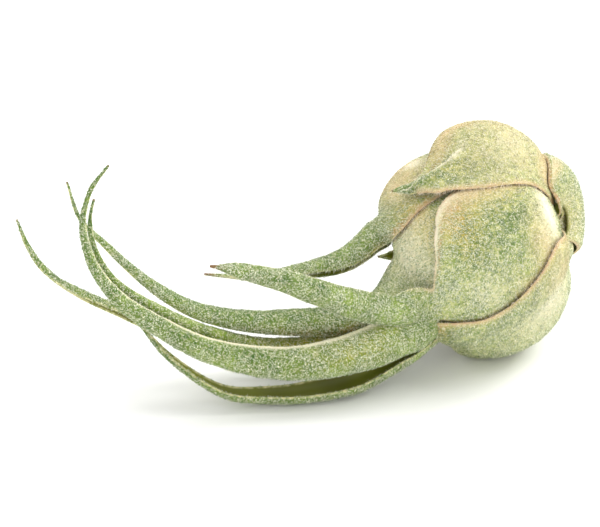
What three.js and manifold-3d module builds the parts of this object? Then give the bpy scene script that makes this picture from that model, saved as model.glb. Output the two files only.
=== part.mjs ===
/**
 * Bulbous air plant lying on its side.
 *
 * Millimetres, +Z up.  The origin is the flat spot the bulb rests on, +X runs
 * along the plant towards the stem end, and +Y is the far side of the bulb.
 *
 * Every leaf is one closed solid: a puffed sheath wrapped round the bulb that
 * narrows into a channelled blade.  The sheaths lie in layers over one lobed
 * bulb form, so an outer sheath always clears the ones beneath it.
 */
import * as THREE from 'three';
import Module from 'manifold-3d';

const wasm = await Module();
wasm.setup();

// ---------------------------------------------------------------- the bulb
const REST_SPOT = vec(4.6, -2.2, 0);       // flat spot under the bulb, made the origin
const HEART = vec(0.5, 1.5, 29.5);         // middle of the bulb
const POLE = vec(0.98, -0.03, 0.21).normalize();   // stem end, seen from the heart
const CROWN = upright(vec(-0.17, 0.48, 0.86));     // zero of the turn round the pole
const FRONT = new THREE.Vector3().crossVectors(POLE, CROWN);
const NOMINAL_RADIUS = 27;
const LOBE_SHARPNESS = 36;                 // higher leaves deeper creases
const DIMPLE_DEPTH = 0.36;                 // share of the radius lost at the stem
const DIMPLE_SPREAD = 0.34;                // radians from the pole
// One puffed cheek a row: centre from the heart x, y, z, then its radius.
const LOBES = [
  [0.0, -8.4, 2.2, 21.8],                  // front cheek
  [-0.5, 4.7, 10.9, 18.8],                 // crown
  [1.4, -0.4, -10.1, 22.5],                 // underside
  [12.8, 8.0, 1.8, 16.4],                  // far right
  [-9.0, 4.5, 2.1, 21.9],                  // upper left
  [-6.0, -6.3, -1.2, 24.0],                // front left
  [-3.0, 7.9, -4.2, 20.5],                 // far side
];

// -------------------------------------------------------------- the leaves
const WALL = 1.0;                          // leaf thickness at the midrib
const MARGIN_THINNING = 0.36;              // share of the wall lost at a margin
const LAYER = 1.5;                         // one sheath layer with its clearance
const TIP_RADIUS = 0.42;                   // curl radius left at a leaf tip
const MAX_CURL = 2.2;                      // radians each side of the midrib
const CLEARANCE = 0.15;                    // kept where one leaf trims another
const STEM_GAP = 0.35;                     // between the stem and a leaf base
const BASE_ANGLE = 13;                     // degrees from the pole to a leaf base

/**
 * Sheath rows: degrees from the pole, turn round the pole, then the spread of
 * the sheath each side of its midrib.  Route rows: the midrib of the free blade
 * in x, y, z.  `back` is the way the blade's outer side faces, start and end.
 */
const LEAVES = {
  leaf_far_right: {
    layer: 0, across: 10, radius: 3, taper: 1, curl: 80, turnBy: 220,
    sheath: [[13, -50, 90, 122], [29, -50, 72, 118], [44, -56, 62, 48], [60, -62, 56, 8],
      [76, -68, 50, 30], [92, -71, 38, 27], [104, -74, 26, 20], [113, -77, 14, 12]],
    route: [[-13.8, 26, 18.3], [-17, 24.3, 17.3], [-20, 22.6, 17]],
    back: [[-0.5, 0.8, -0.4], [-0.6, 0.7, -0.4]], colour: '#aebd93',
  },
  leaf_crown: {
    layer: 1, across: 10, radius: 1.7, taper: 1, curl: 80, turnBy: 220,
    sheath: [[13, 15, 85, 85], [28, 12, 62, 48], [48, 12, 52, 44], [66, 14, 50, 46],
      [81, 18, 43, 45], [93, 23, 33, 39], [102, 30, 26, 30], [109, 37, 19, 23],
      [115, 43, 11, 14], [120, 46, 6, 9]],
    route: [[-19, -5.9, 47.4], [-21, -5.8, 46.8], [-23, -5.6, 46]],
    back: [[-0.7, -0.3, 0.65], [-0.8, -0.2, 0.55]], colour: '#b7c49c',
  },
  leaf_underside: {
    layer: 1, across: 10, radius: 1.6, taper: 1, curl: 80, turnBy: 220, flare: 0.4,
    sheath: [[13, 170, 85, 85], [30, 168, 66, 60], [48, 166, 62, 54], [64, 164, 46, 52],
      [80, 161, 32, 60], [94, 157, 22.5, 62], [106, 152, 18, 54], [115, 147, 13, 30],
      [121, 142, 7, 10]],
    route: [[-14.2, -22, 17.1], [-14.9, -22.2, 17.7], [-15.6, -22.4, 18.3]],
    back: [[-0.4, -0.8, -0.4], [-0.5, -0.8, -0.3]], colour: '#a9bb8e',
  },
  leaf_front: {
    layer: 2, across: 10, radius: 4.2, taper: 0.5, curl: 76, turnBy: 112,
    sheath: [[13, 97, 85, 85], [28, 95, 60, 52], [46, 93, 50, 40], [68, 97, 44, 46],
      [88, 102, 45, 46], [99, 108.5, 30, 40], [107, 113.5, 15, 32], [116, 118.5, 6, 23]],
    route: [[-20.3, -28.4, 25], [-27, -30.5, 26.6], [-34.5, -32, 29.5], [-41.5, -33, 33],
      [-49, -34, 36.5], [-55, -34.5, 38.5], [-60.5, -34.5, 40], [-65.5, -34, 40.5]],
    back: [[-0.1, -1, 0.3], [0, -0.9, 0.5]], colour: '#a5b584',
  },
  leaf_far_left: {
    layer: 2, across: 10, radius: 2.6, taper: 1, curl: 80, turnBy: 220,
    sheath: [[13, -120, 85, 85], [30, -125, 62, 62], [55, -128, 58, 62], [80, -126, 58, 74],
      [98, -122, 54, 72], [112, -116, 44, 76], [124, -108, 36, 70], [133, -100, 26, 48],
      [140, -95, 13, 20]],
    route: [[-18.3, 14.8, 17.4], [-21.5, 13.2, 18.3], [-25, 12.2, 18.6]],
    back: [[-0.6, 0.6, -0.5], [-0.6, 0.7, -0.35]], colour: '#9fb184',
  },
  leaf_upper_left: {
    layer: 3, across: 10, radius: 5, taper: 1.6, curl: 118,
    sheath: [[13, -8, 85, 85], [28, -6, 65, 60], [50, 0, 55, 55], [78, 2, 56, 54],
      [100, 4, 54, 46], [123, 17, 48, 40], [144, 33, 36, 30]],
    route: [[-28.5, -1.5, 35], [-35, -5.5, 30.2], [-42.5, -9.5, 29], [-48.5, -12, 28.5],
      [-54.5, -14, 28], [-61, -15.3, 28.3], [-68, -15.7, 28.8]],
    back: [[-0.4, 0.5, 0.75], [0, 0.68, 0.73]], colour: '#9aae7c',
  },
  leaf_upper_long: {
    layer: 4, across: 8, radius: 4.5, taper: 1.2, curl: 100,
    sheath: [[13, 50, 60, 60], [30, 50, 45, 45], [60, 52, 45, 45], [90, 60, 50, 50],
      [106, 78, 48, 48], [121, 91, 42, 42], [133, 108, 28, 28]],
    route: [[-28.5, -22, 24], [-38, -23, 22.5], [-49.5, -24.5, 22.5], [-60, -25.5, 23.5],
      [-70.5, -25, 26], [-81, -21.5, 31], [-91, -15.5, 37], [-97.5, -10.5, 41.5],
      [-100.5, -7, 49]],
    back: [[-0.2, -0.3, 0.9], [0.8, -0.1, 0.6]], colour: '#93a873',
  },
  leaf_middle_long: {
    layer: 5, across: 6, radius: 6, taper: 1.15, curl: 100,
    sheath: [[13, 120, 40, 40], [40, 125, 34, 34], [75, 130, 30, 30], [105, 136, 24, 24]],
    route: [[-15.5, -27, 17], [-22.5, -31, 16], [-33.5, -34, 14], [-45, -36, 13.5],
      [-56.5, -36.5, 15], [-68, -36, 18.5], [-77.5, -34.5, 23.5], [-87, -31, 29],
      [-93.5, -26.5, 36], [-96, -22, 44.5], [-94, -18.5, 52], [-89.5, -16, 57.5]],
    back: [[0, -1, -0.2], [-0.6, -0.7, 0.5]], colour: '#9cb27a',
  },
  leaf_far_long: {
    layer: 5, across: 6, radius: 3.6, taper: 0.7, curl: 100,
    sheath: [[13, -140, 40, 40], [40, -150, 32, 32], [75, -160, 28, 28], [105, -178, 22, 22]],
    route: [[-22.5, -10, 6.5], [-36, -12, 5], [-50, -14, 6.5], [-64, -16, 10.5],
      [-77, -18, 16], [-88.5, -17.5, 21], [-98, -15, 24], [-106, -11.5, 27.5],
      [-110.5, -8.5, 32.5], [-113.5, -6, 38.5]],
    back: [[0, 0.9, -0.5], [0.9, 0.1, 0.5]], colour: '#879d68',
  },
  leaf_lower_long: {
    layer: 6, across: 6, radius: 4.4, taper: 0.8, curl: 92,
    sheath: [[13, 180, 40, 40], [40, 178, 32, 32], [75, 176, 30, 30], [105, 172, 24, 24]],
    route: [[-18.5, -18, 6], [-31.5, -24.5, 1.5], [-44, -28, 0.5], [-53.5, -29.5, 1],
      [-62, -30.5, 2.5], [-68, -31, 6], [-73.5, -30.5, 10.5], [-78.5, -29.5, 15.5],
      [-84, -27, 22.5]],
    back: [[0, 0.15, -1], [-0.5, -0.2, -0.7]], colour: '#8fa56c',
  },
  leaf_inner_long: {
    layer: 7, across: 6, radius: 3.2, taper: 0.9, curl: 105,
    sheath: [[13, 90, 28, 28], [50, 95, 26, 26], [90, 105, 24, 24]],
    route: [[-18.5, -20, 19.5], [-33, -24, 15.5], [-45.5, -26.5, 14.5], [-56, -28.5, 16],
      [-68, -30, 20.5], [-79, -29, 26], [-88.5, -26, 31.5], [-93.5, -21.5, 38],
      [-94.5, -18, 44], [-93.5, -15.5, 48.5]],
    back: [[0, -0.8, 0.6], [-0.4, -0.9, 0.1]], colour: '#a9c46a',
  },
};

// ------------------------------------------------------------- small tools
function vec(x, y, z) {
  return new THREE.Vector3(x, y, z);
}

function upright(v) {
  return v.addScaledVector(POLE, -v.dot(POLE)).normalize();
}

function radians(degrees) {
  return degrees * Math.PI / 180;
}

function smooth(x) {
  const c = Math.min(Math.max(x, 0), 1);
  return c * c * (3 - 2 * c);
}

function mix(a, b, share) {
  return a.clone().multiplyScalar(1 - share).addScaledVector(b, share);
}

/** Direction from the heart at an angle off the pole and a turn round it. */
function aim(offPole, turn) {
  const [p, t] = [radians(offPole), radians(turn)];
  return POLE.clone().multiplyScalar(Math.cos(p))
    .addScaledVector(CROWN, Math.sin(p) * Math.cos(t))
    .addScaledVector(FRONT, Math.sin(p) * Math.sin(t));
}

/** Distance from the heart to the outside of the lobed bulb. */
function bulbRadius(dir) {
  let sum = 0;
  for (const [x, y, z, radius] of LOBES) {
    const along = dir.x * x + dir.y * y + dir.z * z;
    const inside = along * along - (x * x + y * y + z * z) + radius * radius;
    const reach = along + Math.sqrt(Math.max(inside, 1e-6));
    sum += (reach / NOMINAL_RADIUS) ** LOBE_SHARPNESS;
  }
  const off = Math.acos(Math.min(Math.max(dir.dot(POLE), -1), 1));
  const dimple = 1 - DIMPLE_DEPTH * Math.exp(-((off / DIMPLE_SPREAD) ** 2));
  return NOMINAL_RADIUS * sum ** (1 / LOBE_SHARPNESS) * dimple;
}

/** Smooth curve through rows of numbers; `at` counts rows from the first. */
function curveAt(rows, at) {
  const last = rows.length - 1;
  const i = Math.min(Math.floor(at), last - 1);
  const f = at - i;
  const row = (k) => {
    if (k < 0) return rows[0].map((v, n) => 2 * v - rows[1][n]);
    if (k > last) return rows[last].map((v, n) => 2 * v - rows[last - 1][n]);
    return rows[k];
  };
  const [a, b, c, d] = [row(i - 1), row(i), row(i + 1), row(i + 2)];
  return b.map((v, n) => 0.5 * (2 * v + (c[n] - a[n]) * f
    + (2 * a[n] - 5 * v + 4 * c[n] - d[n]) * f * f
    + (3 * v - a[n] - 3 * c[n] + d[n]) * f * f * f));
}

// ---------------------------------------------------------- leaf stations
/** One station: place, outward normal, log of curl radius, half arcs, drape. */
function sheathStation([offPole, turn, up, down], depth) {
  const dir = aim(offPole, turn);
  const reach = bulbRadius(dir) - depth;
  const place = HEART.clone().addScaledVector(dir, reach);
  return [...place, ...dir, Math.log(reach), radians(up) * reach, radians(down) * reach, 1];
}

function bladeStations(leaf) {
  const places = leaf.route.map((p) => vec(...p));
  const runs = places.map((p, i) => (i ? p.distanceTo(places[i - 1]) : 0));
  const length = runs.reduce((sum, run) => sum + run, 0);
  const [from, to] = leaf.back.map((b) => vec(...b).normalize());
  let gone = 0;
  return places.map((place, i) => {
    gone += runs[i];
    const share = Math.min(gone / length, 1);
    const curl = TIP_RADIUS + (leaf.radius - TIP_RADIUS) * (1 - share) ** leaf.taper;
    const arc = curl * radians(leaf.curl);
    return [...place, ...mix(from, to, share).normalize(), Math.log(curl), arc, arc, 0];
  });
}

function stations(leaf, depth) {
  return [...leaf.sheath.map((row) => sheathStation(row, depth)), ...bladeStations(leaf)];
}

function frameAt(rows, at) {
  const s = curveAt(rows, at);
  const step = 0.02;
  const back = curveAt(rows, Math.max(at - step, 0));
  const on = curveAt(rows, Math.min(at + step, rows.length - 1));
  const along = vec(on[0] - back[0], on[1] - back[1], on[2] - back[2]).normalize();
  const faced = vec(s[3], s[4], s[5]).normalize();
  const square = faced.clone().addScaledVector(along, -faced.dot(along)).normalize();
  const drape = Math.min(Math.max(s[9], 0), 1);
  return {
    place: vec(s[0], s[1], s[2]), out: mix(square, faced, drape).normalize(), along,
    curl: Math.exp(s[6]), up: Math.max(s[7], 0.2), down: Math.max(s[8], 0.2), drape,
  };
}

/** The line a section turns about: the pole near the stem, the midrib beyond. */
function sectionAxis(leaf, frame) {
  const off = Math.acos(Math.min(Math.max(frame.out.dot(POLE), -1), 1)) * 180 / Math.PI;
  const share = smooth(((leaf.turnBy ?? 105) - off) / 55) * smooth(frame.drape);
  return frame.along.clone().multiplyScalar(1 - share).addScaledVector(POLE, -share).normalize();
}

/** Point across a section; `v` runs -1..1, `inset` is measured from the outside. */
function sectionPoint(frame, axis, v, inset, swell, depth, flare) {
  const arc = (v > 0 ? frame.up : frame.down) + swell;
  const turn = v * Math.min(arc / frame.curl, MAX_CURL);
  const curl = frame.curl + swell - inset;
  const out = frame.out.clone().addScaledVector(axis, -frame.out.dot(axis));
  const side = new THREE.Vector3().crossVectors(axis, out);
  const free = frame.place.clone()
    .addScaledVector(out, curl * Math.cos(turn) - frame.curl)
    .addScaledVector(side, curl * Math.sin(turn));
  const ray = free.sub(HEART);
  const reach = ray.length();
  ray.divideScalar(reach);
  const lift = v > 0 ? flare * v ** 6 : 0;
  const draped = bulbRadius(ray) - depth + swell - inset + lift;
  const point = HEART.clone().addScaledVector(ray, reach + (draped - reach) * frame.drape);
  const floor = Math.max(frame.drape * (depth - LAYER), 0) + inset - swell;
  return floor > 0 ? point.setZ(Math.max(point.z, floor)) : point;
}

/** Closed loop of points round one section: outside across, then inside back. */
function sectionLoop(leaf, rows, at, swell) {
  const frame = frameAt(rows, at);
  const axis = sectionAxis(leaf, frame);
  const depth = leaf.layer * LAYER;
  const loop = [];
  for (const inside of [false, true]) {
    for (let j = 0; j <= leaf.across; j += 1) {
      const v = (inside ? -1 : 1) * (2 * j / leaf.across - 1);
      const wall = WALL * (1 - MARGIN_THINNING * Math.abs(v) ** 3) + 2 * swell;
      const inset = inside ? Math.min(wall, (frame.curl + swell) * 0.999) : 0;
      loop.push(sectionPoint(frame, axis, v, inset, swell, depth, leaf.flare ?? 0));
    }
  }
  return loop;
}

// ------------------------------------------------------------------ solids
/** Joins loops of equal length into a closed shell with strip-filled ends. */
function shellFromLoops(loops) {
  const points = loops.flat();
  const size = loops[0].length;
  const faces = [];
  const quad = (a, b, c, d) => faces.push([a, b, c], [a, c, d]);
  for (let i = 0; i + 1 < loops.length; i += 1) {
    for (let j = 0; j < size; j += 1) {
      const k = (j + 1) % size;
      quad(i * size + j, i * size + k, (i + 1) * size + k, (i + 1) * size + j);
    }
  }
  const end = (loops.length - 1) * size;
  for (let j = 0; j + 1 < size / 2; j += 1) {
    const m = size - 1 - j;
    quad(j, m, m - 1, j + 1);
    quad(end + j, end + j + 1, end + m - 1, end + m);
  }
  return { points, faces };
}

/** Merges equal points, drops empty faces and hands the rest to the solid tool. */
function solidFrom({ points, faces }) {
  const seen = new Map();
  const kept = [];
  const index = points.map((p) => {
    const key = p.toArray().map((c) => Math.round(c * 500)).join();
    if (!seen.has(key)) {
      seen.set(key, kept.length / 3);
      kept.push(p.x, p.y, p.z);
    }
    return seen.get(key);
  });
  const solid = faces.map((f) => f.map((i) => index[i]))
    .filter(([a, b, c]) => a !== b && b !== c && c !== a);
  return new wasm.Manifold(new wasm.Mesh({
    numProp: 3, vertProperties: new Float32Array(kept), triVerts: new Uint32Array(solid.flat()),
  }));
}

function largestBody(solid) {
  return solid.decompose().sort((a, b) => b.volume() - a.volume())[0];
}

function leafSolid(leaf, swell) {
  const rows = stations(leaf, leaf.layer * LAYER);
  const rings = (rows.length - 1) * 3;
  const loops = [];
  for (let i = 0; i <= rings; i += 1) loops.push(sectionLoop(leaf, rows, i / 3, swell));
  return solidFrom(shellFromLoops(loops));
}

/** Short woody stem: a cone inside the dimple that every leaf base surrounds. */
function stemSolid() {
  const sides = 20;
  const slope = Math.tan(radians(BASE_ANGLE));
  const profile = [[5.4, 0.4], [5.8, 0.85], [17.2, 17.2 * slope - STEM_GAP], [18.2, 3.3],
    [18.7, 2.1]];
  const ring = ([reach, radius]) => Array.from({ length: sides }, (_, k) => {
    const turn = 2 * Math.PI * k / sides;
    return HEART.clone().addScaledVector(POLE, reach)
      .addScaledVector(CROWN, radius * Math.cos(turn))
      .addScaledVector(FRONT, radius * Math.sin(turn));
  });
  return solidFrom(shellFromLoops(profile.map(ring)));
}

/** Outer leaves keep their form; each leaf below is trimmed clear of them. */
function growLeaves() {
  const floor = wasm.Manifold.cube([300, 300, 40], true).translate([0, 0, -20]);
  const stemRoom = stemSolid();
  const done = {};
  const rooms = [];
  for (const [name, leaf] of Object.entries(LEAVES)) {
    let solid = leafSolid(leaf, 0).subtract(stemRoom).subtract(floor);
    for (const room of rooms) solid = solid.subtract(room);
    done[name] = largestBody(solid);
    rooms.push(leafSolid(leaf, CLEARANCE));
  }
  return done;
}

function toMesh(name, solid, colour, roughness) {
  const { vertProperties, triVerts, numProp } = solid.getMesh();
  const geometry = new THREE.BufferGeometry();
  const count = vertProperties.length / numProp;
  const places = new Float32Array(count * 3);
  for (let i = 0; i < count; i += 1) {
    places.set(vertProperties.subarray(numProp * i, numProp * i + 3), 3 * i);
  }
  geometry.setAttribute('position', new THREE.BufferAttribute(places, 3));
  geometry.translate(-REST_SPOT.x, -REST_SPOT.y, -REST_SPOT.z);
  geometry.setIndex(new THREE.BufferAttribute(new Uint32Array(triVerts), 1));
  geometry.computeVertexNormals();
  const material = new THREE.MeshStandardMaterial({ color: colour, roughness, metalness: 0 });
  const mesh = new THREE.Mesh(geometry, material);
  mesh.name = name;
  return mesh;
}

const plant = new THREE.Group();
plant.name = 'air_plant';
plant.add(toMesh('stem', stemSolid(), '#7b5f43', 0.9));
for (const [name, solid] of Object.entries(growLeaves())) {
  plant.add(toMesh(name, solid, LEAVES[name].colour, 0.85));
}

export default plant;
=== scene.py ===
"""Air plant lying on its side: fine leaves, felt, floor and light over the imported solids.

Lengths in the tables are millimetres in the plant's own layout; everything that goes
into Blender is metres in the row frame, with the resting spot of the bulb as origin.
"""

import logging
import math
from dataclasses import dataclass, field
from enum import Enum

import bpy
import numpy as np
from mathutils import Euler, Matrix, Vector
from mathutils.bvhtree import BVHTree

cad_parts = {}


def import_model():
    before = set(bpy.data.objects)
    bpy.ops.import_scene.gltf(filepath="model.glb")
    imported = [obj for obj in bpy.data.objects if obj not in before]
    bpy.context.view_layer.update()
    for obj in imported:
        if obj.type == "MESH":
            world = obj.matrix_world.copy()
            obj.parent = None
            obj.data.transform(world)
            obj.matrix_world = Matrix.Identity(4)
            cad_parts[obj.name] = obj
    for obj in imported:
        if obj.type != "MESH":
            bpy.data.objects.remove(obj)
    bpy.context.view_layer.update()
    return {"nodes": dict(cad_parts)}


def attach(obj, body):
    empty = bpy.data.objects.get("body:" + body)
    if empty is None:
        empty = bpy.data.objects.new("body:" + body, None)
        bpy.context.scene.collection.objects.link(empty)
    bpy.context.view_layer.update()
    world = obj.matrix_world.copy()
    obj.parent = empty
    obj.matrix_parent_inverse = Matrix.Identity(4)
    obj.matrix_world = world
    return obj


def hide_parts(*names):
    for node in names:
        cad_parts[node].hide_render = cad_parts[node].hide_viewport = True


LOG = logging.getLogger("air_plant")
Array = np.ndarray
Triple = tuple[float, float, float]

REST_SPOT = np.array([4.6, -2.2, 0.0])
FLOOR_GAP = 0.02
MM = 0.001


# ------------------------------------------------------------------ number tools
def unit(v: Array) -> Array:
    """Scales every row to length one."""
    return v / np.maximum(np.linalg.norm(v, axis=-1, keepdims=True), 1e-12)


def smooth(x: Array) -> Array:
    """Soft step: 3x^2 - 2x^3 with x held to 0..1."""
    c = np.clip(x, 0.0, 1.0)
    return c * c * (3.0 - 2.0 * c)


def dot(a: Array, b: Array) -> Array:
    """Row by row dot product, last axis kept."""
    return np.sum(a * b, axis=-1, keepdims=True)


def curve_through(rows: Array, at: Array) -> Array:
    """Uniform Catmull-Rom curve through the rows, with mirrored end rows.

    Args:
        rows: one row of numbers for each station.
        at: places along the curve, counted in rows from the first.

    Returns:
        The curve's numbers at each place.
    """
    ends = np.vstack([2 * rows[0] - rows[1], rows, 2 * rows[-1] - rows[-2]])
    i = np.clip(np.floor(at).astype(int), 0, len(rows) - 2)
    f = (at - i)[:, None]
    a, b, c, d = (ends[i + k] for k in range(4))
    return 0.5 * (
        2 * b + (c - a) * f + (2 * a - 5 * b + 4 * c - d) * f**2 + (3 * b - a - 3 * c + d) * f**3
    )


def blurred(grid: Array) -> Array:
    """Three-point average along both axes of a grid."""
    for axis in (0, 1):
        ahead = np.concatenate([grid.take([0], axis), grid, grid.take([-1], axis)], axis)
        n = grid.shape[axis]
        grid = sum(ahead.take(range(k, k + n), axis) for k in range(3)) / 3.0
    return grid


# ------------------------------------------------------------------ the bulb form
@dataclass(frozen=True)
class Lobe:
    """One puffed cheek of the bulb: its centre from the heart and its radius."""

    centre: Triple
    radius: float


@dataclass(frozen=True)
class Bulb:
    """The lobed form that every sheath is draped over.

    The radius in a direction is a sharp power mean of how far that ray reaches in
    each lobe, so the lobes meet in creases, times a dimple round the stem.
    """

    heart: Triple = (0.5, 1.5, 29.5)
    stem_way: Triple = (0.98, -0.03, 0.21)
    crown_way: Triple = (-0.17, 0.48, 0.86)
    nominal: float = 27.0
    sharpness: int = 36
    dimple_depth: float = 0.36
    dimple_spread: float = 0.34
    lobes: tuple[Lobe, ...] = (
        Lobe((0.0, -8.4, 2.2), 21.8),
        Lobe((-0.5, 4.7, 10.9), 18.8),
        Lobe((1.4, -0.4, -10.1), 22.5),
        Lobe((12.8, 8.0, 1.8), 16.4),
        Lobe((-9.0, 4.5, 2.1), 21.9),
        Lobe((-6.0, -6.3, -1.2), 24.0),
        Lobe((-3.0, 7.9, -4.2), 20.5),
    )

    @property
    def axes(self) -> tuple[Array, Array, Array]:
        """Pole, crown and front directions, square to one another."""
        pole = unit(np.array(self.stem_way))
        crown = np.array(self.crown_way)
        crown = unit(crown - dot(crown, pole) * pole)
        return pole, crown, np.cross(pole, crown)

    def aim(self, off_pole: Array, turn: Array) -> Array:
        """Directions at angles (degrees) off the pole and round it."""
        pole, crown, front = self.axes
        p, t = np.radians(off_pole)[..., None], np.radians(turn)[..., None]
        return np.cos(p) * pole + np.sin(p) * (np.cos(t) * crown + np.sin(t) * front)

    def radius(self, way: Array) -> Array:
        """Distance from the heart to the outside, for unit directions."""
        total = np.zeros(way.shape[:-1])
        for lobe in self.lobes:
            centre = np.array(lobe.centre)
            along = way @ centre
            inside = along**2 - centre @ centre + lobe.radius**2
            reach = along + np.sqrt(np.maximum(inside, 1e-6))
            total += (reach / self.nominal) ** self.sharpness
        off = np.arccos(np.clip(way @ self.axes[0], -1.0, 1.0))
        dimple = 1.0 - self.dimple_depth * np.exp(-((off / self.dimple_spread) ** 2))
        return self.nominal * total ** (1.0 / self.sharpness) * dimple


# ------------------------------------------------------------------ leaf plans
class Mask(Enum):
    """What a painted spot on a leaf changes."""

    FLUSH = 0
    YELLOW = 1
    DEPTH = 2
    # rust colour, and one painted shadow strip beside the crown's ridge
    RUST = 3
    # cream colour, and painted highlight on lit rims and along a fold's ridge
    CREAM = 4


@dataclass(frozen=True)
class Spot:
    """A soft oval patch on a leaf.

    Attributes:
        mask: what the patch changes.
        at: place along the leaf, in station rows.
        across: place across the leaf, -1..1.
        length: half size along the leaf, in rows.
        width: half size across the leaf.
        amount: strength at its middle.
    """

    mask: Mask
    at: float
    across: float
    length: float
    width: float
    amount: float

    def over(self, at: Array, across: Array) -> Array:
        """Strength of the patch on a grid: a bell of the scaled distance."""
        far = ((at[:, None] - self.at) / self.length) ** 2
        far = far + ((across[None, :] - self.across) / self.width) ** 2
        return self.amount * np.exp(-far)


def patches(**kinds: tuple[tuple[float, ...], ...]) -> tuple[Spot, ...]:
    """Spots from rows of their numbers, listed by the name of what they change."""
    return tuple(Spot(Mask[kind.upper()], *row) for kind, rows in kinds.items() for row in rows)


@dataclass(frozen=True)
class Fold:
    """A raised fold that ends in a sharp ridge along a line on the leaf.

    Attributes:
        path: places along (rows) and across of the ridge.
        height: rise of the fold just before the ridge.
        edge: width of the drop, as a share across.
        starts: rows over which the fold rises from its first end.
        ends: rows over which it falls to its last end.
        fade: share across over which it fades at the near margin.
    """

    path: tuple[tuple[float, float], ...]
    height: float
    edge: float
    starts: float = 1.2
    ends: float = 0.8
    fade: float = 0.45

    def _beside(self, at: Array, across: Array) -> tuple[Array, Array]:
        """Share across from the ridge, and how fully the fold has risen along it."""
        path = np.array(self.path)
        line = np.interp(at, path[:, 0], path[:, 1])
        rising = smooth((at - path[0, 0]) / self.starts)
        reach = rising * smooth((path[-1, 0] - at) / self.ends + 0.3)
        return line[:, None] - across[None, :], reach[:, None]

    def over(self, at: Array, across: Array) -> Array:
        """Height of the fold on a grid; it fades out towards the near margin."""
        beside, reach = self._beside(at, across)
        fade = smooth((1 + across)[None, :] / self.fade)
        return self.height * smooth(beside / self.edge + 0.5) * fade * reach

    def ridge(self, at: Array, across: Array) -> Array:
        """Strength of the painted highlight: a pale line along the ridge."""
        beside, reach = self._beside(at, across)
        return np.exp(-(((beside - 0.5 * self.edge) / self.edge) ** 2)) * smooth(reach * 2)


@dataclass(frozen=True)
class LeafPlan:
    """The named sizes of one leaf, as in the solids.

    Attributes:
        layer: sheath layer below the outside of the bulb.
        radius: curl radius where the blade leaves the sheath.
        taper: power of the narrowing towards the tip.
        curl: half turn of the channel, degrees.
        sheath: rows of angle off the pole, turn, and spread each side.
        route: midrib of the free blade.
        back: way the blade's outer side faces, at its start and its tip.
        turn_by: angle off the pole past which sections follow the midrib.
        flare: how far the upper margin stands off the bulb.
        spots: painted patches.
        dry_tip: length of dried brown tip.
        felt: how densely the outside is felted.
        grain: contrast of the felt, 0 even .. 1 speckled.
        hair: length of the margin hairs, as a share of the usual.
        fold: a raised fold, if the leaf has one.
    """

    name: str
    slot: str
    layer: int
    radius: float
    taper: float
    curl: float
    sheath: tuple[tuple[float, float, float, float], ...]
    route: tuple[Triple, ...]
    back: tuple[Triple, Triple]
    turn_by: float = 105.0
    flare: float = 0.0
    spots: tuple[Spot, ...] = ()
    dry_tip: float = 0.4
    felt: float = 1.0
    grain: float = 1.0
    hair: float = 1.0
    fold: Fold | None = None


SHEATH_SLOT = "sheath_leaf"
BLADE_SLOT = "blade_leaf"

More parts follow.
